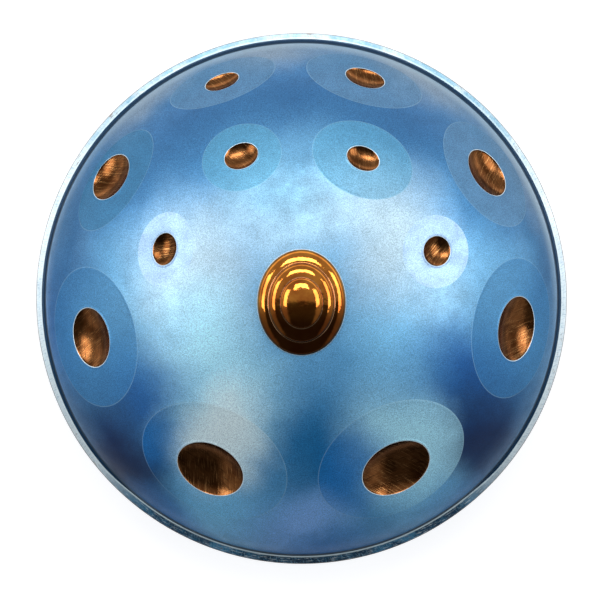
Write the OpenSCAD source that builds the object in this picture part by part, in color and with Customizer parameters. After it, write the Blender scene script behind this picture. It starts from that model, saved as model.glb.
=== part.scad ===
// Handpan: a convex steel pan made of two drawn sheet shells glued rim to rim.
// The upper shell carries twelve flattened tone fields, each with a concave
// dimple, round a stepped oval centre note (the ding). The lower shell has a
// round port (the gu) whose turned-in lip is also the ring it stands on.
// Origin: centre of that ring, on the floor. +Z is up and -Y is the player's side.

/* [Shells] */
// Diameter over the rim flange
shell_d = 560; // [480:5:640]
// Width of the flat flange outside the dome wall
flange_w = 9; // [6:1:16]
// Thickness of the steel sheet
sheet_t = 1.2; // [0.9:0.1:1.6]
// Rise of the upper dome above its flange
top_h = 106; // [90:1:120]
// Height from the floor to the rim joint
bottom_h = 110; // [90:1:130]
// Thickness of the adhesive between the two flanges
glue_t = 0.6; // [0.3:0.1:1.2]

/* [Tone fields] */
// How deep a field's flat middle lies, as a share of the dome's own fall at its edge
field_flatness = 0.6; // [0.4:0.05:0.8]
// Depth of a dimple as a share of its shorter half width
dimple_depth = 0.3; // [0.15:0.05:0.4]

/* [Ding] */
// Half the length of the centre note, towards the player
ding_half_l = 49; // [40:1:56]
// Half the width of the centre note
ding_half_w = 41; // [34:1:48]
// Rise of the centre note above the dome
ding_h = 20; // [14:1:26]

/* [Port] */
// Clear diameter of the port
port_d = 100; // [80:1:120]
// Height of the turned-in neck above the floor
neck_h = 24; // [18:1:34]
// Outside radius of the rolled lip between the standing ring and the neck
lip_r = 8; // [5:0.5:10]
// Width of the flat ring that touches the floor
ring_w = 5; // [3:1:8]

/* [Hidden] */

$fn = 96;
oval_sides = 40; // sides of each tone field, dimple and matching opening
profile_steps = 30; // straight steps along each shell's curved profile
lip_steps = 6; // straight steps round the port's rolled lip
field_steps = 3; // bands from a field's edge to its dimple
opening_proud = 6; // how far an opening's cutter stands out of the dome
size = shell_d / 560; // the note plan below is drawn for a 560 mm shell
opening_depth = 18 * size; // past the dome's fall under the largest field

// One row a note, from the lowest and counted anticlockwise: distance from the
// axis, compass angle from +X, half width across, half height along the slope,
// turn of the oval, then the dimple's half width, half height and shift outwards.
NOTES = [
    [180, 299.5, 76, 62, 0, 35, 28, 9],
    [213, 352.5, 70, 53, 0, 32, 24, 4],
    [225, 34.5, 60, 43, 0, 26, 20, 1],
    [231, 74, 60, 35, 0, 20, 13.5, 2],
    [234, 110, 56, 30, 0, 17.5, 11.5, 0],
    [222, 147.1, 58, 34, 0, 25, 20, 6],
    [211, 190, 70, 55, 0, 29.5, 23.5, 2],
    [180, 241.5, 75, 62, 0, 34, 28, 8],
    [136, 20.5, 35, 33, -45, 14.5, 13.5, 1],
    [147.5, 66.7, 50, 38, 0, 16, 12, 1],
    [149, 112.5, 39, 34, 0, 16.5, 13, 1],
    [138, 159, 36, 28, 12, 15.5, 12, 1]
];

// The dome is part of an ellipsoid that reaches a little past the wall's foot,
// so the wall stands steep there but never vertical.
wall_r = shell_d / 2 - flange_w;
dome_a = wall_r * 1.02;
foot_cos = sqrt(1 - pow(wall_r / dome_a, 2));
dome_h = top_h / (1 - foot_cos);
top_flange_z = bottom_h + glue_t;
dome_base_z = top_flange_z + sheet_t;
dome_mid_z = dome_base_z - dome_h * foot_cos;

// The lower shell follows a second ellipsoid, cut off at the standing ring.
port_r = port_d / 2;
ring_r = port_r + lip_r;
base_r = ring_r + ring_w;
base_cos = sqrt(1 - pow(base_r / dome_a, 2));
bottom_flange_z = bottom_h - sheet_t;
bowl_h = bottom_flange_z / (base_cos - foot_cos);
bowl_mid_z = bowl_h * base_cos;

blue = [0.42, 0.55, 0.68];
pale_blue = [0.55, 0.68, 0.78];
bronze = [0.55, 0.42, 0.30];
gold = [0.80, 0.66, 0.42];
teal = [0.10, 0.22, 0.26];

function steps(n) = [for (i = [0 : n]) i / n];
function mix(a, b, t) = a + (b - a) * t;

// Height and slope of the dome's outer face at a distance from the axis
function dome_z(r) = dome_mid_z + dome_h * sqrt(1 - pow(r / dome_a, 2));
function dome_slope(r) = atan(dome_h * r / dome_a / sqrt(dome_a * dome_a - r * r));

// How far the dome lies above the plane that touches it at distance r from the
// axis, measured square to that plane at u down the slope and v across it.
function dome_fall(r, u, v) =
    let (s = dome_slope(r), k = pow(dome_a / dome_h, 2))
    let (x = r + u * cos(s), z = dome_z(r) - dome_mid_z - u * sin(s))
    let (qa = pow(sin(s), 2) + k * pow(cos(s), 2))
    let (qb = x * sin(s) + k * z * cos(s))
    let (qc = x * x + v * v + k * z * z - dome_a * dome_a)
    (sqrt(qb * qb - qa * qc) - qb) / qa;

// A note's own values, at the size of this shell
function note_r(n) = n[0] * size;
function field_half(n) = [n[2], n[3]] * size;
function dimple_half(n) = [n[5], n[6]] * size;
function dimple_shift(n) = n[7] * size;
function field_level(n) =
    field_flatness * 0.5 * (dome_fall(note_r(n), field_half(n)[1], 0)
        + dome_fall(note_r(n), 0, field_half(n)[0]));

// Stands children on the dome: +X down the slope, +Y across it, +Z outwards
module on_dome(r, angle) {
    rotate([0, 0, angle]) translate([r, 0, dome_z(r)]) rotate([0, dome_slope(r), 0]) children();
}

// One corner of an oval: half = [across, along the slope], moved down the slope
function oval_point(half, shift, turn, i) =
    let (a = 360 * i / oval_sides, u = half[1] * cos(a), v = half[0] * sin(a))
    [shift + u * cos(turn) - v * sin(turn), u * sin(turn) + v * cos(turn)];

// A ring of corners. Each lies at `level`, plus `follow` times the dome's fall there.
function oval_ring(r, turn, half, shift, level, follow) = [
    for (i = [0 : oval_sides - 1])
        let (p = oval_point(half, shift, turn, i))
        [p[0], p[1], level + follow * dome_fall(r, p[0], p[1])]
];

// Solid through a list of rings, each joined to the next. A closed one returns
// from the last ring to the first, and an open one has flat ends.
module ring_loft(rings, closed) {
    n = oval_sides;
    m = len(rings);
    bands = closed ? m : m - 1;
    corners = [for (ring = rings) for (p = ring) p];
    sides = [
        for (j = [0 : bands - 1], i = [0 : n - 1])
            let (a = j * n, b = ((j + 1) % m) * n, k = (i + 1) % n)
            each [[a + i, b + i, a + k], [a + k, b + i, b + k]]
    ];
    ends = closed ? [] : [
        [for (i = [0 : n - 1]) i],
        [for (i = [n - 1 : -1 : 0]) (m - 1) * n + i]
    ];
    polyhedron(points = corners, faces = concat(sides, ends), convexity = 4);
}

// Profile of a shell face: an ellipse's arc from one angle off the axis to another
function arc_profile(a, h, mid_z, start, end, up) = [
    for (t = steps(profile_steps))
        let (w = mix(start, end, t))
        [a * sin(w), mid_z + up * h * cos(w)]
];

// Opening in the upper shell for one oval, square to the dome
module oval_opening(half, turn) {
    outline = [for (i = [0 : oval_sides - 1]) oval_point(half, 0, turn, i)];
    translate([0, 0, -opening_depth])
        linear_extrude(height = opening_depth + opening_proud) polygon(outline);
}

// Upper shell: the steel between the notes, and the top flange of the rim
module top_shell() {
    inner_end = acos((top_flange_z - dome_mid_z) / (dome_h - sheet_t));
    outer = arc_profile(dome_a, dome_h, dome_mid_z, 0, acos(foot_cos), 1);
    inner = arc_profile(dome_a - sheet_t, dome_h - sheet_t, dome_mid_z, inner_end, 0, 1);
    flange = [[shell_d / 2, dome_base_z], [shell_d / 2, top_flange_z]];
    color(blue) difference() {
        rotate_extrude() polygon(concat(outer, flange, inner));
        for (n = NOTES)
            on_dome(note_r(n), n[1]) oval_opening(field_half(n), n[4]);
        on_dome(0, 0) oval_opening([ding_half_l, ding_half_w], 0);
    }
}

// Lower shell: bowl, bottom flange, standing ring and the port's turned-in neck
module bottom_shell() {
    inner_end = acos((bowl_mid_z - bottom_h) / (bowl_h - sheet_t));
    inner_start = asin(base_r / (dome_a - sheet_t));
    outer = arc_profile(dome_a, bowl_h, bowl_mid_z, asin(base_r / dome_a), acos(foot_cos), -1);
    inner = arc_profile(dome_a - sheet_t, bowl_h - sheet_t, bowl_mid_z, inner_end, inner_start, -1);
    flange = [[shell_d / 2, bottom_flange_z], [shell_d / 2, bottom_h]];
    lip_mid = [ring_r, lip_r];
    lip_inside = [for (t = steps(lip_steps)) lip_mid - (lip_r - sheet_t) * [sin(90 * t), cos(90 * t)]];
    lip_outside = [for (t = steps(lip_steps)) lip_mid - lip_r * [cos(90 * t), sin(90 * t)]];
    neck = [[port_r + sheet_t, neck_h], [port_r, neck_h]];
    color(pale_blue) rotate_extrude()
        polygon(concat(outer, flange, inner, lip_inside, neck, lip_outside));
}

// Adhesive: the thin ring that joins the two flanges
module rim_adhesive() {
    setback = 0.4;
    profile = [[wall_r + setback, 0], [shell_d / 2 - setback, 0]];
    color(teal) translate([0, 0, bottom_h]) rotate_extrude()
        polygon(concat(profile, [for (p = [profile[1], profile[0]]) p + [0, glue_t]]));
}

// Tone field: the flattened oval of the upper shell that sounds one note. Its
// edge lies on the dome and its middle is nearly flat, down to the dimple's lip.
module tone_field(i) {
    n = NOTES[i - 1];
    level = field_level(n);
    function ring(t, drop) =
        oval_ring(note_r(n), n[4], mix(field_half(n), dimple_half(n), t), mix(0, dimple_shift(n), t),
            mix(0, level, 1 - pow(1 - t, 2)) - drop, pow(1 - t, 2));
    top = [for (t = steps(field_steps)) ring(t, 0)];
    under = [for (t = steps(field_steps)) ring(1 - t, sheet_t)];
    color(blue) on_dome(note_r(n), n[1]) ring_loft(concat(top, under), true);
}

// Dimple: the concave bowl in the middle of a tone field, as shares of its half
// size from the flat floor out to the lip
module dimple(i) {
    shares = [0.25, 0.6, 0.85, 1];
    n = NOTES[i - 1];
    level = field_level(n);
    depth = dimple_depth * dimple_half(n)[1];
    function ring(s, drop) =
        oval_ring(note_r(n), n[4], dimple_half(n) * s, dimple_shift(n),
            level - depth * (1 - s * s) - drop, 0);
    top = [for (s = shares) ring(s, 0)];
    under = [for (j = [len(shares) - 1 : -1 : 0]) ring(shares[j], sheet_t)];
    color(bronze) on_dome(note_r(n), n[1]) ring_loft(concat(top, under), false);
}

// Ding: the oval centre note, three low tiers that each roll over at their edge
module ding() {
    // Share of the half width and share of the rise, from the crown outwards
    tiers = [
        [0.10, 1.00], [0.22, 0.99], [0.36, 0.94], [0.43, 0.85], [0.47, 0.68],
        [0.60, 0.64], [0.68, 0.56], [0.74, 0.34], [0.87, 0.29], [0.95, 0.20]
    ];
    half = [ding_half_l, ding_half_w];
    function ring(s, rise, thin) =
        oval_ring(0, 0, half * s - [thin, thin], 0, ding_h * rise - thin, 0);
    top = [for (t = tiers) ring(t[0], t[1], 0)];
    under = [for (j = [len(tiers) - 1 : -1 : 0]) ring(tiers[j][0], tiers[j][1], sheet_t)];
    edge = [oval_ring(0, 0, half, 0, 0, 1), oval_ring(0, 0, half, 0, -sheet_t, 1)];
    color(gold) on_dome(0, 0) ring_loft(concat(top, edge, under), false);
}

top_shell();
bottom_shell();
rim_adhesive();
ding();
for (i = [1 : len(NOTES)]) {
    tone_field(i);
    dimple(i);
}
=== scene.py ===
"""The looks of a handpan: an airbrushed blue lacquered shell, bronze dimples and a gold ding."""
import math

import bpy
import numpy as np
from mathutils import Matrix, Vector, noise
from mathutils.geometry import delaunay_2d_cdt


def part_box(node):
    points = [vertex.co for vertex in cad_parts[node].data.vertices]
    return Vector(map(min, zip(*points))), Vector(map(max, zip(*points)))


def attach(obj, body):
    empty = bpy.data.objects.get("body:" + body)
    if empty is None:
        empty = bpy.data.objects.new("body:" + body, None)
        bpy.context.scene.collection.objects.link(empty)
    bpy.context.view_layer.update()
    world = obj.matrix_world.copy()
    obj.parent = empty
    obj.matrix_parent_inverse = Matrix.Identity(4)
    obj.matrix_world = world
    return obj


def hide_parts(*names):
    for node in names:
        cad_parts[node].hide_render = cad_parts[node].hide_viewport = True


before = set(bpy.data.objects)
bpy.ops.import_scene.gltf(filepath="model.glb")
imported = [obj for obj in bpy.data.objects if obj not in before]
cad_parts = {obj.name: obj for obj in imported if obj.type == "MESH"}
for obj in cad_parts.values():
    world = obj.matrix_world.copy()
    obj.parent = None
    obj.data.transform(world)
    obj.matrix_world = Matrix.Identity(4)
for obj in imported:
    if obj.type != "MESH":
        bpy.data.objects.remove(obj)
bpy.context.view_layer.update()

# ---------------------------------------------------------------- sizes, in metres
MM = 0.001
SHELL_LOW, SHELL_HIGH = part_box("top_shell")
BOWL_LOW, BOWL_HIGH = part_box("bottom_shell")
DING_LOW, DING_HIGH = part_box("ding")
SHELL_R = (SHELL_HIGH.x - SHELL_LOW.x) / 2
SHEET = 1.2 * MM
FLANGE_W = 9 * MM
DOME_RISE = 106 * MM
JOINT_Z = BOWL_HIGH.z
FLANGE_Z = SHELL_LOW.z + SHEET
WALL_R = SHELL_R - FLANGE_W
SPLIT_R = 263.5 * MM  # inside this the dome is a net with openings, outside it rings
FOOT_R = 3 * MM  # inside radius between the dome's wall and its flange
EDGE_R = 0.45 * MM  # rounding of the sheet's cut edge
PORT_R = 50 * MM
NECK_TOP = 24 * MM
LIP_R = 8 * MM
RING_W = 5 * MM

# The dome and the bowl are parts of two ellipsoids of one width.
DOME_A = WALL_R * 1.02
FOOT_COS = math.sqrt(1 - (WALL_R / DOME_A) ** 2)
DOME_H = DOME_RISE / (1 - FOOT_COS)
DOME_MID = FLANGE_Z - DOME_H * FOOT_COS
BASE_R = PORT_R + LIP_R + RING_W
BASE_COS = math.sqrt(1 - (BASE_R / DOME_A) ** 2)
BOWL_H = (JOINT_Z - SHEET) / (BASE_COS - FOOT_COS)
BOWL_MID = BOWL_H * BASE_COS

DING_HALF = ((DING_HIGH.y - DING_LOW.y) / 2, (DING_HIGH.x - DING_LOW.x) / 2)
DING_RISE = DING_HIGH.z - (DOME_MID + DOME_H)

FLATNESS = 0.6  # a field's middle lies this share of the dome's fall below its centre
DIMPLE_DEPTH = 0.3  # of the dimple's shorter half width

# One row a note: distance from the axis, angle, half width across the slope, half
# height along it, turn; then the dimple's half sizes and its shift down the slope.
NOTES = [
    (180, 299.5, 76, 62, 0, 35, 28, 9),
    (213, 352.5, 70, 53, 0, 32, 24, 4),
    (225, 34.5, 60, 43, 0, 26, 20, 1),
    (231, 74, 60, 35, 0, 20, 13.5, 2),
    (234, 110, 56, 30, 0, 17.5, 11.5, 0),
    (222, 147.1, 58, 34, 0, 25, 20, 6),
    (211, 190, 70, 55, 0, 29.5, 23.5, 2),
    (180, 241.5, 75, 62, 0, 34, 28, 8),
    (136, 20.5, 35, 33, -45, 14.5, 13.5, 1),
    (147.5, 66.7, 50, 38, 0, 16, 12, 1),
    (149, 112.5, 39, 34, 0, 16.5, 13, 1),
    (138, 159, 36, 28, 12, 15.5, 12, 1),
]

EDGE_BLEND = 3.5 * MM  # width over which a field leaves the dome's own curve
BEAD_RISE = 0.30 * MM  # the bead in a field round its dimple: height, place and half width
BEAD_INSET = 0.9 * MM
BEAD_WIDTH = 0.7 * MM
LIP_RISE = 0.25 * MM  # the rounding of a dimple's edge: height and width
LIP_WIDTH = 0.6 * MM

# Corners round each kind of ring
OVAL_SIDES = 192
DING_SIDES = 288
ROUND_SIDES = 288
SPLIT_SIDES = 384
TIER_RINGS = 45  # rings in each of the ding's three tiers

# The net of triangles between the notes
NET_PITCH = 3.4 * MM
NET_ROW = 0.866  # a row's height over the pitch
NET_GAP = 3.2 * MM  # from an opening to the even net
NET_OFFSETS = (0.9 * MM, 2.2 * MM)  # the two rings of corners round each opening
LEAST_GAP = 0.5 * MM
SAME_PLACE = 1e-7

EYE_HEIGHT = 0.85  # of the camera over the flange
EYE_BACK = 0.029  # of the camera behind the pan's axis
FLOOR_HALF = 60


# ---------------------------------------------------------------- the dome's shape
def dome_z(r):
    """Height of the true dome at a distance from the axis."""
    return DOME_MID + DOME_H * np.sqrt(1 - (r / DOME_A) ** 2)


def dome_slope(r):
    """How steeply the dome falls there, in radians."""
    return np.arctan(DOME_H * r / DOME_A / np.sqrt(DOME_A**2 - r * r))


def dome_fall(r, u, v):
    """Height of the dome over its tangent plane at r, at u down the slope and v across."""
    s = dome_slope(r)
    k = (DOME_A / DOME_H) ** 2
    x = r + u * np.cos(s)
    z = dome_z(r) - DOME_MID - u * np.sin(s)
    qa = np.sin(s) ** 2 + k * np.cos(s) ** 2
    qb = x * np.sin(s) + k * z * np.cos(s)
    qc = x * x + v * v + k * z * z - DOME_A**2
    return (np.sqrt(qb * qb - qa * qc) - qb) / qa


def on_dome(r, angle, u, v, w):
    """Points of a note's own frame (down the slope, across, outwards) in the row's frame."""
    s = dome_slope(r)
    x = r + u * np.cos(s) + w * np.sin(s)
    z = dome_z(r) - u * np.sin(s) + w * np.cos(s)
    c, d = math.cos(angle), math.sin(angle)
    return np.stack([x * c - v * d, x * d + v * c, z + 0 * v], axis=-1)


def dome_normal(points):
    """The way straight out of the dome at points on it."""
    n = points - np.array([0, 0, DOME_MID])
    n = n / np.array([DOME_A**2, DOME_A**2, DOME_H**2])
    return n / np.linalg.norm(n, axis=-1, keepdims=True)


def hammered(points):
    """How far the hand-hammered steel stands off the true dome, at points on it."""
    flat = points.reshape(-1, 3)
    broad = [noise.noise(Vector(p) * 14) for p in flat]  # dents about 70 mm apart
    close = [noise.noise(Vector(p) * 42 + Vector((7, 3, 1))) for p in flat]  # about 24 mm apart
    height = 0.55 * MM * np.array(broad) + 0.10 * MM * np.array(close)
    return height.reshape(points.shape[:-1])


def smooth(t):
    """0 to 1 with level ends."""
    t = np.clip(t, 0, 1)
    return t * t * (3 - 2 * t)


def blend(a, b, t):
    return a + (b - a) * t


class Note:
    """One note's oval field and dimple, as rings of points."""

    def __init__(self, row):
        r, angle, across, along, turn, dimple_across, dimple_along, shift = row
        self.r, self.angle = r * MM, math.radians(angle)
        self.turn, self.shift = math.radians(turn), shift * MM
        self.field = np.array([across, along]) * MM
        self.dimple = np.array([dimple_across, dimple_along]) * MM
        ends = dome_fall(self.r, self.field[1], 0) + dome_fall(self.r, 0, self.field[0])
        self.level = FLATNESS * 0.5 * ends

    def plan(self, half, shift):
        """An oval in the note's own frame: places down the slope and across it."""
        a = np.linspace(0, 2 * np.pi, OVAL_SIDES, endpoint=False)
        u, v = half[1] * np.cos(a), half[0] * np.sin(a)
        c, s = math.cos(self.turn), math.sin(self.turn)
        return shift + u * c - v * s, u * s + v * c

    def ring(self, half, shift, height):
        """An oval at a height over the note's tangent plane."""
        u, v = self.plan(half, shift)
        return on_dome(self.r, self.angle, u, v, height(u, v))

    def edge(self):
        """The field's outline, on the hammered dome."""
        u, v = self.plan(self.field, 0)
        p = on_dome(self.r, self.angle, u, v, dome_fall(self.r, u, v))
        return p + dome_normal(p) * hammered(p)[:, None]

    def field_ring(self, t):
        """Ring a share t of the way from the field's outline to the dimple's lip."""
        half, shift = blend(self.field, self.dimple, t), blend(0, self.shift, t)
        width = (self.field - self.dimple).mean()
        u0, v0 = self.plan(self.field, 0)
        at_edge = dome_fall(self.r, u0, v0)
        soft = smooth(1 - t * width / EDGE_BLEND)
        bead = BEAD_RISE * np.exp(-(((1 - t) * width - BEAD_INSET) / BEAD_WIDTH) ** 2)

        def height(u, v):
            flat = self.level + (at_edge - self.level) * (1 - t) ** 1.6
            return blend(flat, dome_fall(self.r, u, v), soft) + bead

        p = self.ring(half, shift, height)
        return p + dome_normal(p) * (hammered(p) * (1 - t) ** 2)[:, None]

    def dimple_ring(self, s):
        """Ring at a share s of the dimple's half size, in its bowl."""
        depth = DIMPLE_DEPTH * self.dimple[1]
        lip = LIP_RISE * np.exp(-((1 - s) * self.dimple[1] / LIP_WIDTH))
        level = self.level - depth * (1 - s**2.3) + lip - LIP_RISE
        return self.ring(self.dimple * s, self.shift, lambda u, v: level + 0 * u)


# ---------------------------------------------------------------- mesh building
def new_piece(name, vertices, faces, node, material, sharp=40, bare_and_highlit=(), rubbed_and_highlit=()):
    """A smooth-shaded piece in a node's place. The last two arguments mark the corners where the paint
    is off and where it is thin, and both also carry a painted highlight along that edge or seam; edges
    bent more than sharp degrees stay sharp."""
    mesh = bpy.data.meshes.new(name)
    mesh.from_pydata([tuple(v) for v in vertices], [], faces)
    mesh.validate()
    wear_and_highlight = mesh.attributes.new("wear_and_highlight", "FLOAT", "POINT")
    for k in rubbed_and_highlit:
        wear_and_highlight.data[k].value = 0.4
    for k in bare_and_highlit:
        wear_and_highlight.data[k].value = 1
    mesh.shade_smooth()
    mesh.set_sharp_from_angle(angle=math.radians(sharp))
    piece = bpy.data.objects.new(name, mesh)
    bpy.context.scene.collection.objects.link(piece)
    piece.data.materials.append(material)
    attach(piece, "root")
    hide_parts(node)


def band_faces(a, b, n):
    """Quads between ring a and ring b, each named by its first corner's index."""
    k = np.arange(n)
    j = (k + 1) % n
    return np.stack([a + k, b + k, b + j, a + j], axis=1).tolist()


def loft(rings, closed):
    """Corners and faces through rings of points, which run outwards and then back under on
    an open loft, capped by fans, and the other way round on a closed one."""
    n = len(rings[0])
    corners = list(np.concatenate(rings))
    faces = []
    for j in range(len(rings) - (0 if closed else 1)):
        faces += band_faces(j * n, (j + 1) % len(rings) * n, n)
    if not closed:
        for first, ring, flip in ((0, rings[0], False), ((len(rings) - 1) * n, rings[-1], True)):
            corners.append(ring.mean(0))
            hub = len(corners) - 1
            for k in range(n):
                a, b = first + k, first + (k + 1) % n
                faces.append((hub, b, a) if flip else (hub, a, b))
    if closed:
        faces = [tuple(f[::-1]) for f in faces]
    return corners, faces


def revolve(profile, sides):
    """Rings of points for a list of (radius, height)."""
    a = np.linspace(0, 2 * np.pi, sides, endpoint=False)
    return [np.stack([r * np.cos(a), r * np.sin(a), z + 0 * a], axis=1) for r, z in profile]


def arc(centre, radius, start, end, steps):
    """Points of an arc in (radius, height), angles in degrees from outwards, up positive."""
    return [
        (centre[0] + radius * math.cos(math.radians(a)), centre[1] + radius * math.sin(math.radians(a)))
        for a in np.linspace(start, end, steps + 1)
    ]


def below(ring):
    """A ring moved in by the sheet's thickness, square to the dome."""
    return ring - dome_normal(ring) * SHEET


# ---------------------------------------------------------------- materials
def rgb(code):
    """Linear colour of a six-digit sRGB code."""
    parts = [int(code[i:i + 2], 16) / 255 for i in (0, 2, 4)]
    return tuple(c / 12.92 if c < 0.04045 else ((c + 0.055) / 1.055) ** 2.4 for c in parts) + (1,)


class Tree:
    """A node tree with short calls for the nodes used here."""

    def __init__(self, tree):
        self.tree = tree

    def add(self, kind, inputs=None, **settings):
        node = self.tree.nodes.new("ShaderNode" + kind)
        for key, value in settings.items():
            setattr(node, key, value)
        for key, value in (inputs or {}).items():
            self.put(node.inputs[key], value)
        return node

    def put(self, socket, value):
        if isinstance(value, bpy.types.NodeSocket):
            self.tree.links.new(value, socket)
        else:
            socket.default_value = value

    def math(self, operation, a, b=0.0):
        return self.add("Math", {0: a, 1: b}, operation=operation).outputs[0]

    def ramp(self, value, low, high, out_low=0.0, out_high=1.0):
        """A smooth step from out_low to out_high as the value goes from low to high."""
        node = self.add(
            "MapRange", {0: value, 1: low, 2: high, 3: out_low, 4: out_high},
            interpolation_type="SMOOTHSTEP",
        )
        return node.outputs[0]

    def noise(self, vector, scale, detail=2.0, rough=0.5):
        inputs = {"Vector": vector, "Scale": scale, "Detail": detail, "Roughness": rough}
        return self.add("TexNoise", inputs).outputs["Fac"]

    def mix(self, factor, a, b):
        node = self.add("Mix", data_type="RGBA")
        self.put(node.inputs[0], factor)
        self.put(node.inputs[6], a)
        self.put(node.inputs[7], b)
        return node.outputs[2]

    def strokes(self, vector, turn, width, length, detail=3.0):
        """Brush strokes that run at an angle round Z, width and length in metres."""
        place = {"Vector": vector, "Rotation": (0, 0, turn), "Scale": (length, width, length)}
        node = self.add("Mapping", place, vector_type="TEXTURE")
        return self.noise(node.outputs[0], 1, detail, 0.65)


def new_material(name):
    """A material, its node tree, its shader, and the place on the object in metres."""
    material = bpy.data.materials.new(name)
    material.use_nodes = True
    tree = Tree(material.node_tree)
    shader = material.node_tree.nodes["Principled BSDF"]
    place = tree.add("TexCoord").outputs["Object"]
    return material, tree, shader, place


# The sprayed paints, some of which also stand for painted reflections and painted shade
PAINTS = {
    # white, ice and mist also stand for painted reflections of the soft boxes round the ding
    "white": "e2f8ff",
    "ice": "aee8ff",
    "sky": "7ec8f4",
    "halo": "7cb9e0",
    "mist": "a9c4d3",
    # haze stands for a painted reflection of the bright room along the back rim
    "haze": "8fa4b8",
    "lavender": "83b6f6",
    "steel": "5194c6",
    "slate": "6899b4",
    "denim": "34699a",
    "azure": "1c73bd",
    "cobalt": "175a9f",
    # navy and ink also stand for painted shade towards the player
    "navy": "00376e",
    "ink": "002551",
    "teal": "1a6aa2",
    "lagoon": "589bbc",
    "wisteria": "9cbcdf",
    "dusk": "5a86a8",
    "harbour": "35779f",
    "river": "3f88bf",
}

# Patches on the dome, laid one over another, partly sprayed paint and partly painted light: the pale
# ones round the ding and the haze along the back rim are painted reflections of the soft boxes and the
# bright room, and the navy, ink and denim ones are painted shade.
# Columns: distance from the axis in millimetres, angle, reach outwards, reach sideways, strength,
# paint.
PAINT_AND_LIGHT_PATCHES = [
    (258, 186, 55, 130, 0.90, "azure"),
    (235, 168, 60, 130, 0.80, "denim"),
    (225, 145, 75, 120, 0.85, "denim"),
    (205, 120, 75, 140, 0.95, "denim"),
    (205, 90, 75, 140, 0.95, "denim"),
    (208, 60, 75, 140, 0.95, "denim"),
    (225, 32, 60, 110, 0.85, "denim"),
    (245, 5, 50, 110, 0.70, "denim"),
    (262, 128, 38, 100, 0.80, "haze"),
    (260, 96, 38, 120, 0.90, "haze"),
    (260, 62, 45, 130, 1.00, "haze"),
    (264, 28, 42, 120, 0.80, "haze"),
    (150, 2, 70, 80, 0.70, "slate"),
    (150, 178, 75, 90, 0.80, "slate"),
    (105, 92, 95, 110, 0.95, "slate"),
    (135, 66, 45, 60, 0.50, "halo"),
    (115, 115, 45, 60, 0.60, "slate"),
    (105, 38, 90, 120, 1.00, "mist"),
    (110, 155, 90, 95, 0.92, "mist"),
    (90, 185, 75, 80, 0.75, "mist"),
    (90, 5, 75, 90, 0.50, "mist"),
    (195, 8, 55, 80, 0.50, "halo"),
    (195, 176, 55, 80, 0.40, "halo"),
    (95, 205, 75, 85, 0.90, "ice"),
    (115, 350, 75, 80, 0.40, "sky"),
    (88, 336, 60, 60, 0.65, "sky"),
    (0, 0, 95, 95, 0.60, "halo"),
    (62, 105, 50, 80, 0.50, "mist"),
    (178, 212, 80, 75, 0.85, "cobalt"),
    (238, 219, 80, 120, 1.00, "navy"),
    (245, 225, 60, 75, 0.90, "ink"),
    (178, 335, 90, 80, 0.95, "cobalt"),
    (222, 324, 90, 110, 1.00, "navy"),
    (225, 322, 65, 65, 0.85, "ink"),
    (145, 275, 90, 85, 1.00, "teal"),
    (175, 288, 70, 60, 0.60, "azure"),
    (128, 235, 95, 75, 1.00, "ice"),
    (135, 237, 65, 50, 0.80, "white"),
    (225, 248, 70, 75, 0.85, "sky"),
    (220, 270, 60, 90, 1.00, "lavender"),
    (262, 275, 40, 110, 0.90, "azure"),
    (262, 238, 35, 70, 0.80, "azure"),
    (165, 304, 100, 75, 0.90, "ice"),
    (232, 303, 50, 60, 0.80, "sky"),
    (262, 306, 35, 70, 0.40, "azure"),
]

# Patches of the same mixed kind, sprayed paint and painted light, on one note's field only, which is
# sprayed by itself
FIELD_PAINT_AND_LIGHT_PATCHES = {
    1: [(185, 309, 95, 90, 1.00, "ice"), (172, 284, 75, 70, 0.85, "azure")],
    2: [(213, 352, 300, 300, 0.50, "river")],
    3: [(225, 34, 300, 300, 0.70, "dusk")],
    4: [(231, 74, 300, 300, 0.65, "dusk")],
    5: [(234, 110, 300, 300, 0.65, "dusk")],
    6: [(222, 147, 300, 300, 0.75, "harbour")],
    7: [(211, 190, 300, 300, 0.50, "river")],
    8: [
        (155, 240, 75, 60, 0.80, "white"),
        (205, 222, 70, 55, 0.90, "azure"),
        (185, 262, 70, 45, 0.60, "steel"),
    ],
    9: [(136, 20, 300, 300, 0.85, "wisteria")],
    10: [(147, 66, 300, 300, 0.65, "lagoon")],
    11: [(149, 112, 300, 300, 0.70, "lagoon")],
    12: [(139, 159, 300, 300, 0.85, "wisteria")],
}


def spray(tree, place, colour, patches):
    """A colour with patches of paint sprayed over it in turn."""
    for distance, angle, outwards, sideways, strength, paint in patches:
        a = math.radians(angle)
        spot = {
            "Vector": place,
            "Location": (distance * MM * math.cos(a), distance * MM * math.sin(a), 0),
            "Rotation": (0, 0, a),
            "Scale": (outwards * MM, sideways * MM, 1),
        }
        local = tree.add("Mapping", spot, vector_type="TEXTURE").outputs[0]
        away = tree.add("VectorMath", {0: local}, operation="LENGTH").outputs["Value"]
        colour = tree.mix(tree.ramp(away, 0, 1, strength, 0), colour, rgb(PAINTS[paint]))
    return colour


def drifted(tree, place):
    """Places in plan, shifted a little every way so that sprayed edges wander."""
    flat = tree.add("VectorMath", {0: place, 1: (1, 1, 0)}, operation="MULTIPLY").outputs[0]
    drift = tree.add("TexNoise", {"Vector": place, "Scale": 12.0, "Detail": 4.0}).outputs["Color"]
    drift = tree.add("VectorMath", {0: drift, 1: (0.5, 0.5, 0.5)}, operation="SUBTRACT").outputs[0]
    drift = tree.add("VectorMath", {0: drift, 1: (0.06, 0.06, 0)}, operation="MULTIPLY").outputs[0]
    return tree.add("VectorMath", {0: flat, 1: drift}, operation="ADD").outputs[0]


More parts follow.
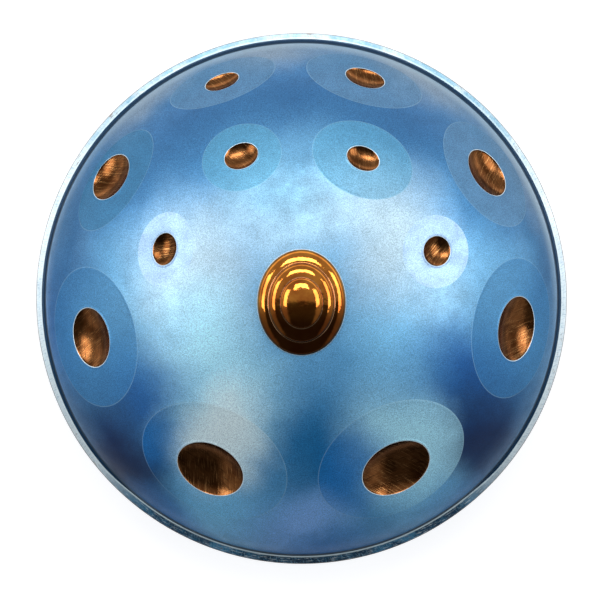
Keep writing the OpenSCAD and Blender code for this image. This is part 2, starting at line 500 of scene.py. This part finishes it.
def paint_and_light_spray_group():
    """Node group: the lacquer's colour at a place on the dome, sprayed paint with painted reflections
    and painted shade in it.
    """
    group = bpy.data.node_groups.new("paint_and_light_spray", "ShaderNodeTree")
    group.interface.new_socket("Place", in_out="INPUT", socket_type="NodeSocketVector")
    group.interface.new_socket("Colour", in_out="OUTPUT", socket_type="NodeSocketColor")
    tree = Tree(group)
    place = group.nodes.new("NodeGroupInput").outputs[0]
    colour = spray(tree, drifted(tree, place), rgb(PAINTS["steel"]), PAINT_AND_LIGHT_PATCHES)
    out = group.nodes.new("NodeGroupOutput")
    tree.put(out.inputs[0], colour)
    return group


PAINT_AND_LIGHT_SPRAY = paint_and_light_spray_group()


def lacquer(name, patches=(), rim=False):
    """Airbrushed metallic blue, with painted reflections and painted shade among its patches and
    painted highlights along its edges, under a thin satin clear coat.
    """
    material, tree, shader, place = new_material(name)
    brushed = tree.tree.nodes.new("ShaderNodeGroup")
    brushed.node_tree = PAINT_AND_LIGHT_SPRAY
    tree.put(brushed.inputs[0], place)
    colour = spray(tree, drifted(tree, place), brushed.outputs[0], patches)
    cloud = tree.noise(place, 55, 4, 0.6)
    grain = tree.noise(place, 1100, 2, 0.7)
    level = tree.math(
        "MULTIPLY", tree.ramp(cloud, 0.30, 0.75, 1.05, 0.93), tree.ramp(grain, 0.34, 0.66, 0.72, 1.26)
    )
    colour = tree.add("VectorMath", {0: colour, "Scale": level}, operation="SCALE").outputs[0]
    if rim:
        colour = rim_paint(tree, place, colour)
    # Paint off and thin along edges, painted pale: partly wear of the paint, partly a painted highlight
    # where the edge catches the light
    wear_and_highlight = tree.add("Attribute", attribute_name="wear_and_highlight").outputs["Fac"]
    colour = tree.mix(tree.ramp(wear_and_highlight, 0.55, 0.85), colour, rgb("e4f3fa"))
    colour = tree.mix(tree.ramp(wear_and_highlight, 0.05, 0.30, 0, 0.18), colour, rgb("b9dcea"))
    shader.inputs["Metallic"].default_value = 0.5
    shader.inputs["Specular IOR Level"].default_value = 0.3
    shader.inputs["Coat Weight"].default_value = 0.22
    shader.inputs["Coat Roughness"].default_value = 0.18
    tree.put(shader.inputs["Base Color"], colour)
    tree.put(shader.inputs["Roughness"], tree.ramp(cloud, 0.3, 0.7, 0.36, 0.48))
    strokes = tree.math(
        "ADD", tree.strokes(place, 0.6, 0.0024, 0.035), tree.strokes(place, 2.2, 0.0026, 0.040)
    )
    relief = tree.math("ADD", tree.math("MULTIPLY", strokes, 0.35), grain)
    bump = tree.add("Bump", {"Height": relief, "Strength": 0.10, "Distance": 0.0006})
    tree.put(shader.inputs["Normal"], bump.outputs[0])
    return material


def rim_paint(tree, place, colour):
    """Round the rim: painted shade in the crease at the wall's foot, a painted highlight line outside
    it and a painted reflection on the wall inside it, and the sanded, streaked and chipped flange
    outside it, painted paler at the back and darker near the player as painted reflection and painted
    shade.
    """
    split = tree.add("SeparateXYZ", {0: place})
    x, y = split.outputs[0], split.outputs[1]
    side = tree.math("ABSOLUTE", x)
    flat = tree.add("CombineXYZ", {0: x, 1: y, 2: 0.0}).outputs[0]
    away = tree.add("VectorMath", {0: flat}, operation="LENGTH").outputs["Value"]
    turn = tree.math("MULTIPLY", tree.math("ARCTAN2", y, x), WALL_R)
    unrolled = tree.add("CombineXYZ", {0: turn, 1: away, 2: 0.0}).outputs[0]
    streaks = tree.strokes(unrolled, 0, 0.0011, 0.009, 4)
    hatch = tree.strokes(unrolled, 1.3, 0.0014, 0.005, 3)
    patches = tree.noise(place, 38, 3, 0.6)
    near = tree.ramp(y, -0.165, -0.225)  # 1 on the stretch of rim towards the player

    # The flange: paler at the back and paler still on its flanks as painted reflection of the bright
    # room, darker near the player as painted shade, streaked and chipped
    pale = tree.mix(tree.ramp(patches, 0.40, 0.60), rgb("86b4cb"), rgb("bcd2dd"))
    flanks = tree.math("MULTIPLY", tree.ramp(side, 0.14, 0.23), tree.ramp(y, 0.20, 0.12))
    pale = tree.mix(tree.math("MULTIPLY", flanks, 0.85), pale, rgb("d9e5ea"))
    dark = tree.mix(tree.ramp(patches, 0.40, 0.60), rgb("1d3c55"), rgb("3a7396"))
    dark = tree.mix(tree.ramp(side, 0.085, 0.035, 0, 0.75), dark, rgb("0d2436"))
    flange = tree.mix(near, pale, dark)
    flange = tree.mix(tree.ramp(streaks, 0.52, 0.68, 0, 0.55), flange, rgb("dbe8ee"))
    flange = tree.mix(tree.ramp(hatch, 0.50, 0.34, 0, 0.50), flange, rgb("6f9db8"))
    chips = tree.math("MULTIPLY", tree.ramp(streaks, 0.46, 0.38), tree.ramp(patches, 0.56, 0.70))
    flange = tree.mix(chips, flange, rgb("7a5a44"))
    edge = tree.ramp(away, SHELL_R - 1.1 * MM, SHELL_R - 0.5 * MM, 0, 0.8)
    flange = tree.mix(edge, flange, rgb("8b8682"))

    # Painted shade in the crease, a painted highlight line outside it and a painted reflection on the
    # wall inside it
    crease_end = tree.ramp(near, 0, 1, WALL_R + 2.9 * MM, WALL_R + 0.3 * MM)
    beyond = tree.math("SUBTRACT", away, crease_end)
    line_share = tree.ramp(near, 0, 1, 0.45, 0.9)
    line = tree.math("MULTIPLY", tree.ramp(beyond, 1.9 * MM, 1.3 * MM), line_share)
    flange = tree.mix(line, flange, rgb("dcf0f6"))
    painted_sheen = tree.math(
        "MULTIPLY",
        tree.ramp(away, WALL_R - 17 * MM, WALL_R - 6 * MM, 0, 0.45),
        tree.math("MULTIPLY", tree.ramp(y, -0.06, 0.10), tree.ramp(x, -0.27, -0.10, 0.3, 1)),
    )
    colour = tree.mix(painted_sheen, colour, rgb("c4dbe8"))
    colour = tree.mix(tree.ramp(beyond, -0.2 * MM, 0.2 * MM), colour, flange)
    inner = tree.ramp(away, WALL_R - 5.0 * MM, WALL_R - 3.8 * MM)
    outer = tree.ramp(beyond, 0.2 * MM, -0.2 * MM)
    # painted shade: a dark band along the crease at the wall's foot
    return tree.mix(tree.math("MULTIPLY", inner, outer), colour, rgb("04304e"))


def bronze(name, turn):
    """Bare bronzed steel, hand brushed in crossing strokes."""
    material, tree, shader, place = new_material(name)
    long_stroke = tree.strokes(place, turn, 0.0005, 0.016, 5)
    cross_stroke = tree.strokes(place, turn + 0.9, 0.0006, 0.012, 5)
    cloud = tree.noise(place, 45, 2, 0.5)
    colour = tree.mix(tree.ramp(cloud, 0.35, 0.65), rgb("5a3317"), rgb("8a5730"))
    colour = tree.mix(tree.ramp(long_stroke, 0.54, 0.66, 0, 0.65), colour, rgb("dba66c"))
    colour = tree.mix(tree.ramp(cross_stroke, 0.48, 0.36, 0, 0.65), colour, rgb("200f07"))
    shader.inputs["Metallic"].default_value = 1.0
    tree.put(shader.inputs["Base Color"], colour)
    tree.put(shader.inputs["Roughness"], tree.ramp(long_stroke, 0.3, 0.7, 0.10, 0.26))
    relief = tree.math("ADD", long_stroke, cross_stroke)
    bump = tree.add("Bump", {"Height": relief, "Strength": 0.18, "Distance": 0.0003})
    tree.put(shader.inputs["Normal"], bump.outputs[0])
    return material


def gold():
    """Polished gold-bronze, with painted shade on the player's side and painted highlights along its
    tier seams, and with the faint ripple and haze of hand polishing."""
    material, tree, shader, place = new_material("gold")
    cloud = tree.noise(place, 60, 4, 0.6)
    colour = tree.mix(tree.ramp(cloud, 0.3, 0.7), rgb("b36228"), rgb("d98c3a"))
    y = tree.add("SeparateXYZ", {0: place}).outputs[1]
    # painted shade: darker on the half towards the player, where the ding faces the dark side of the
    # room
    colour = tree.mix(tree.ramp(y, 0.008, -0.022, 0, 0.85), colour, rgb("4a210e"))
    # painted highlight: pale lines along the tier seams
    wear_and_highlight = tree.add("Attribute", attribute_name="wear_and_highlight").outputs["Fac"]
    colour = tree.mix(tree.ramp(wear_and_highlight, 0.1, 0.9, 0, 0.65), colour, rgb("e6bd92"))
    haze = tree.strokes(place, 0.4, 0.0011, 0.011)
    shader.inputs["Metallic"].default_value = 1.0
    tree.put(shader.inputs["Base Color"], colour)
    tree.put(shader.inputs["Roughness"], tree.ramp(haze, 0.35, 0.7, 0.04, 0.12))
    ripple = tree.noise(place, 130, 2, 0.5)
    bump = tree.add("Bump", {"Height": ripple, "Strength": 0.10, "Distance": 0.002})
    tree.put(shader.inputs["Normal"], bump.outputs[0])
    return material


def adhesive():
    """Cured adhesive, dark and uneven."""
    material, tree, shader, place = new_material("adhesive")
    cloud = tree.noise(place, 160, 3)
    tree.put(shader.inputs["Base Color"], tree.mix(cloud, rgb("10262e"), rgb("2b5560")))
    tree.put(shader.inputs["Roughness"], tree.ramp(cloud, 0.3, 0.7, 0.35, 0.6))
    return material


# ---------------------------------------------------------------- the pieces
def ding_rings():
    """Rings of the ding: three tiers, each a quarter ellipse that rolls over outwards. A tier
    runs between two shares of the ding's half size and two shares of its rise."""
    tiers = [(0.0, 0.47, 1.0, 0.68), (0.47, 0.74, 0.68, 0.34), (0.74, 1.0, 0.34, 0.0)]
    lowest = tiers[-1][0]
    a = np.linspace(0, 2 * np.pi, DING_SIDES, endpoint=False)
    rings = []
    for inner, outer, high, low in tiers:
        for t in np.sin(np.linspace(0, np.pi / 2, TIER_RINGS + 1))[1:]:
            s = blend(inner, outer, t)
            rise = blend(low, high, (1 - t**2.2) ** 0.5)
            x, y = DING_HALF[1] * s * np.cos(a), DING_HALF[0] * s * np.sin(a)
            base = dome_fall(0, x, y) * (s if inner == lowest else 0)
            z = DOME_MID + DOME_H + DING_RISE * rise + base
            rings.append(np.stack([x, y, z + 0 * a], axis=1))
    return rings


def make_ding():
    """The gold centre note, with thin painted highlight lines where its tiers meet."""
    top = ding_rings()
    under = []
    for ring in top[::-6]:
        low = ring.copy()
        low[:, 2] -= SHEET
        under.append(low)
    corners, faces = loft(top + under, closed=False)
    seams = []
    for first in (TIER_RINGS - 1, 2 * TIER_RINGS - 1):
        seams += range(first * DING_SIDES, (first + 2) * DING_SIDES)
    new_piece("ding_gold", corners, faces, "ding", gold(), sharp=70, bare_and_highlit=seams)


def make_field(i, note, material):
    """A note's field: an oval ring of sheet, its paint thinned along its outline and off at its
    dimple's lip, with painted highlights along both.
    """
    steps = np.concatenate([
        np.linspace(0, 0.12, 10)[:-1], np.linspace(0.12, 0.86, 14)[:-1], np.linspace(0.86, 1, 14),
    ])
    top = [note.edge()] + [note.field_ring(t) for t in steps[1:]]
    under = [below(top[k]) for k in (len(top) - 1, 24, 16, 9, 0)]
    corners, faces = loft(top + under, closed=True)
    lip = range((len(top) - 2) * OVAL_SIDES, (len(top) + 1) * OVAL_SIDES)
    outline = range(2 * OVAL_SIDES)
    name = f"field_{i}"
    new_piece(name, corners, faces, f"tone_field_{i}", material, bare_and_highlit=lip, rubbed_and_highlit=outline)


def make_dimple(i, note, material):
    """A note's dimple: a shallow bowl of sheet that fills its field's opening."""
    shares = np.concatenate([np.linspace(0.04, 0.9, 20)[:-1], np.linspace(0.9, 1, 8)])
    top = [note.dimple_ring(s) for s in shares]
    under = [below(top[k]) for k in (len(top) - 1, 19, 12, 6, 0)]
    corners, faces = loft(top + under, closed=False)
    new_piece(f"bowl_{i}", corners, faces, f"dimple_{i}", material)


def hex_grid(limit, pitch):
    """Plan points of a net of equal triangles, out to a limit from the axis."""
    rows = int(limit / pitch / NET_ROW) + 1
    points = []
    for j in range(-rows, rows + 1):
        for i in range(-rows, rows + 1):
            x, y = (i + 0.5 * (j % 2)) * pitch, j * pitch * NET_ROW
            if math.hypot(x, y) < limit:
                points.append((x, y))
    return np.array(points)


def outward_rings(loop, offsets):
    """Copies of a plan loop, moved out from its centre by each offset."""
    centre = loop.mean(0)
    away = loop - centre
    size = np.linalg.norm(away, axis=1, keepdims=True)
    return [centre + away * (1 + offset / size) for offset in offsets]


def clear_of(points, loop, gap):
    """Which plan points lie outside a convex loop by at least the gap."""
    ahead = np.roll(loop, -1, axis=0) - loop
    normal = np.stack([ahead[:, 1], -ahead[:, 0]], axis=1)
    normal = normal / np.linalg.norm(normal, axis=1, keepdims=True)
    distance = (points[:, None, :] - loop[None, :, :]) * normal[None, :, :]
    return distance.sum(2).max(1) > gap


def anticlockwise(loop):
    """The same plan loop, turned round if it runs clockwise."""
    x, y = loop[:, 0], loop[:, 1]
    turning = (x * np.roll(y, -1) - np.roll(x, -1) * y).sum()
    return loop if turning > 0 else loop[::-1]


def dome_net(holes):
    """Triangles of the dome between its openings, in plan, and each hole's corners."""
    rim = revolve([(SPLIT_R, 0)], SPLIT_SIDES)[0][:, :2]
    loops = [rim] + holes
    extra = hex_grid(SPLIT_R - NET_OFFSETS[1], NET_PITCH)
    for hole in holes:
        extra = extra[clear_of(extra, anticlockwise(hole), NET_GAP)]
    for hole in holes:
        for ring in outward_rings(hole, NET_OFFSETS):
            extra = np.concatenate([extra, ring[::2]])
    for hole in holes:
        extra = extra[clear_of(extra, anticlockwise(hole), LEAST_GAP)]

    corners, edges = [], []
    for loop in loops:
        first = len(corners)
        corners += [Vector(p) for p in loop]
        edges += [(first + k, first + (k + 1) % len(loop)) for k in range(len(loop))]
    corners += [Vector(p) for p in extra]
    plan, _, faces, origin, _, _ = delaunay_2d_cdt(corners, edges, [], 0, SAME_PLACE)

    # Where each corner given ended up, and which loop it lies on
    owner = {}
    for k, source in enumerate(origin):
        for s in source:
            owner[s] = k
    marks, first = {}, 0
    loop_ids = []
    for number, loop in enumerate(loops):
        ids = [owner[first + k] for k in range(len(loop))]
        loop_ids.append(ids)
        for k in ids:
            marks[k] = number
        first += len(loop)

    # A triangle whose corners all lie on one opening's loop is inside that opening
    kept = []
    for face in faces:
        numbers = {marks.get(k, -1) for k in face}
        if len(numbers) == 1 and numbers != {-1} and numbers != {0}:
            continue
        kept.append(tuple(face))
    return np.array([tuple(p) for p in plan]), kept, loop_ids


def rim_profile():
    """(radius, height) from the split, down the wall, round the foot and over the flange."""
    slope = float(dome_slope(WALL_R))
    reach = FOOT_R / math.tan((math.pi - slope) / 2)
    wall_end = WALL_R - reach * math.cos(slope)
    wall = [(r, float(dome_z(r))) for r in np.linspace(SPLIT_R, wall_end, 14)]
    foot = arc((WALL_R + reach, FLANGE_Z + FOOT_R), FOOT_R, 270 - math.degrees(slope), 270, 10)
    edge = arc((SHELL_R - EDGE_R, FLANGE_Z - EDGE_R), EDGE_R, 90, 0, 5)
    lower = [(SHELL_R, FLANGE_Z - SHEET), (WALL_R + SHEET, FLANGE_Z - SHEET)]
    bend = FOOT_R - SHEET
    turn = arc((WALL_R + SHEET, FLANGE_Z + bend), bend + SHEET, 270, 270 - math.degrees(slope), 5)
    return wall + foot[1:] + edge + lower + turn[1:]


def make_top_shell(notes):
    """The steel between the notes, and the wall and flange round it."""
    holes3d = [note.edge() for note in notes]
    ding_loop = ding_rings()[-1]
    holes = [h[:, :2] for h in holes3d] + [ding_loop[:, :2]]
    plan, triangles, loop_ids = dome_net(holes)
    r = np.linalg.norm(plan, axis=1)
    base = np.stack([plan[:, 0], plan[:, 1], dome_z(r)], axis=1)
    off_centre = smooth((r - 40 * MM) / (50 * MM))
    off_rim = smooth((SPLIT_R - r) / (12 * MM))
    top = base + dome_normal(base) * (hammered(base) * off_centre * off_rim)[:, None]
    for ids, loop in zip(loop_ids[1:], holes3d + [ding_loop]):
        for k, point in zip(ids, loop):
            top[k] = point
    under = below(top)
    n = len(top)
    corners = list(top) + list(under)
    faces = [tuple(t) for t in triangles] + [tuple(n + k for k in t[::-1]) for t in triangles]
    for ids in loop_ids[1:]:
        for k in range(len(ids)):
            a, b = ids[k], ids[(k + 1) % len(ids)]
            faces.append((a, b, n + b, n + a))

    rim = loop_ids[0]
    rings = [np.array([top[k] for k in rim])] + revolve(rim_profile()[1:], len(rim))
    first = len(corners)
    for ring in rings[1:]:
        corners += list(ring)
    index = [rim]
    for start in range(first, len(corners), len(rim)):
        index.append(range(start, start + len(rim)))
    index.append([n + k for k in rim])
    for a, b in zip(index, index[1:]):
        for k in range(len(rim)):
            j = (k + 1) % len(rim)
            faces.append((a[k], b[k], b[j], a[j]))
    paint = lacquer("lacquer_shell", rim=True)
    new_piece("shell_top", corners, faces, "top_shell", paint, bare_and_highlit=loop_ids[-1])


def bowl_profile():
    """Closed (radius, height) outline of the lower shell, outside first."""
    start, end = math.asin(BASE_R / DOME_A), math.acos(FOOT_COS)
    outer = [
        (DOME_A * math.sin(w), BOWL_MID - BOWL_H * math.cos(w)) for w in np.linspace(start, end, 70)
    ]
    edge = arc((SHELL_R - EDGE_R, JOINT_Z - SHEET + EDGE_R), EDGE_R, 270, 360, 5)
    lid = [(SHELL_R, JOINT_Z)]
    a, h = DOME_A - SHEET, BOWL_H - SHEET
    start, end = math.acos((BOWL_MID - JOINT_Z) / h), math.asin(BASE_R / a)
    inner = [(a * math.sin(w), BOWL_MID - h * math.cos(w)) for w in np.linspace(start, end, 60)]
    middle = (PORT_R + LIP_R, LIP_R)
    inside = arc(middle, LIP_R - SHEET, 270, 180, 10)
    neck = arc((PORT_R + SHEET / 2, NECK_TOP - SHEET / 2), SHEET / 2, 0, 180, 6)
    outside = arc(middle, LIP_R, 180, 270, 14)
    return outer + edge + lid + inner + inside + neck + outside


def make_bottom_shell():
    """The lower shell with its flange, standing ring and port."""
    corners, faces = loft(revolve(bowl_profile(), ROUND_SIDES), closed=True)
    paint = lacquer("lacquer_bowl")
    new_piece("shell_bottom", corners, faces, "bottom_shell", paint, sharp=35)


def make_adhesive():
    """The ring of adhesive between the flanges, bulging a little at their edge."""
    inner, outer = WALL_R + 0.5 * MM, SHELL_R - 0.5 * MM
    low, high = JOINT_Z, FLANGE_Z - SHEET
    bulge = arc((outer, (low + high) / 2), (high - low) / 2, -90, 90, 6)
    profile = [(inner, low)] + bulge + [(inner, high)]
    corners, faces = loft(revolve(profile, ROUND_SIDES), closed=True)
    new_piece("seam", corners, faces, "rim_adhesive", adhesive())


notes = [Note(row) for row in NOTES]
make_top_shell(notes)
make_bottom_shell()
make_adhesive()
make_ding()
for i, note in enumerate(notes, start=1):
    make_field(i, note, lacquer(f"lacquer_field_{i}", FIELD_PAINT_AND_LIGHT_PATCHES.get(i, ())))
    make_dimple(i, note, bronze(f"bronze_{i}", note.angle + 0.5))


# ---------------------------------------------------------------- the studio
def make_floor():
    """A pale floor that hides nothing from below."""
    mesh = bpy.data.meshes.new("floor")
    corners = [(x * FLOOR_HALF, y * FLOOR_HALF, 0) for x, y in ((-1, -1), (1, -1), (1, 1), (-1, 1))]
    mesh.from_pydata(corners, [], [(0, 1, 2, 3)])
    floor = bpy.data.objects.new("floor", mesh)
    bpy.context.scene.collection.objects.link(floor)
    material, tree, shader, _ = new_material("floor")
    shader.inputs["Base Color"].default_value = (0.45, 0.45, 0.45, 1)
    shader.inputs["Roughness"].default_value = 0.9
    shader.inputs["Emission Color"].default_value = (0.97, 0.98, 1, 1)
    seen = tree.add("LightPath").outputs["Is Camera Ray"]
    tree.put(shader.inputs["Emission Strength"], tree.math("MULTIPLY", seen, 0.75))
    under = tree.add("NewGeometry").outputs["Backfacing"]
    clear = tree.add("BsdfTransparent").outputs[0]
    sheet = tree.add("MixShader", {0: under, 1: shader.outputs[0], 2: clear}).outputs[0]
    tree.put(tree.tree.nodes["Material Output"].inputs["Surface"], sheet)
    floor.data.materials.append(material)


def make_panel(name, zenith, azimuth, distance, width, height, power):
    """A soft box aimed at the dome's top, zenith degrees from straight above it. Lengths are
    in metres and power in watts."""
    z, a = math.radians(zenith), math.radians(azimuth)
    light = bpy.data.lights.new(name, "AREA")
    light.shape = "RECTANGLE"
    light.size, light.size_y = width, height
    light.energy = power
    lamp = bpy.data.objects.new(name, light)
    target = Vector((0, 0, DING_HIGH.z))
    way = Vector((math.sin(z) * math.cos(a), math.sin(z) * math.sin(a), math.cos(z)))
    lamp.location = target + way * distance
    lamp.rotation_euler = way.to_track_quat("Z", "Y").to_euler()
    lamp.visible_camera = False
    bpy.context.scene.collection.objects.link(lamp)


def make_world():
    """A soft room that the metal reflects: dark where the player stands, bright low at the
    back. The camera itself sees plain near-white."""
    world = bpy.data.worlds.new("studio")
    bpy.context.scene.world = world
    world.use_nodes = True
    tree = Tree(world.node_tree)
    shade = world.node_tree.nodes["Background"]
    way = tree.add("SeparateXYZ", {0: tree.add("TexCoord").outputs["Generated"]})
    across = tree.math("ABSOLUTE", way.outputs[0])
    person = tree.math(
        "MULTIPLY", tree.ramp(across, 0.72, 0.45), tree.ramp(way.outputs[1], 0.06, -0.10)
    )
    room = tree.ramp(person, 0, 1, 0.50, 0.08)
    back = tree.ramp(way.outputs[1], -0.30, 0.50)
    low = tree.ramp(way.outputs[2], 0.42, 0.12)
    haze = tree.math("MULTIPLY", tree.math("MULTIPLY", back, low), 1.2)
    seen = tree.add("LightPath").outputs["Is Camera Ray"]
    tree.put(shade.inputs["Color"], (0.95, 0.97, 1.0, 1))
    tree.put(shade.inputs["Strength"], tree.ramp(seen, 0, 1, tree.math("ADD", room, haze), 0.97))


def make_camera():
    """Straight down on the dome from a little behind its axis, which the shift brings back to
    the middle of the picture."""
    camera = bpy.data.cameras.new("camera")
    eye = bpy.data.objects.new("camera", camera)
    eye.location = (0, EYE_BACK, FLANGE_Z + EYE_HEIGHT)
    camera.lens = 48.36
    camera.shift_x = -0.0025
    camera.shift_y = -0.0483
    camera.clip_end = 200
    bpy.context.scene.collection.objects.link(eye)
    bpy.context.scene.camera = eye


make_floor()
make_panel("panel_back", 30, 91, 1.5, 0.95, 0.42, 9)
make_panel("panel_left", 46, 168, 1.5, 0.9, 0.6, 7)
make_panel("panel_right", 46, 12, 1.5, 0.9, 0.6, 7)
make_world()
make_camera()
scene = bpy.context.scene
scene.view_settings.view_transform = "Standard"
scene.view_settings.look = "None"
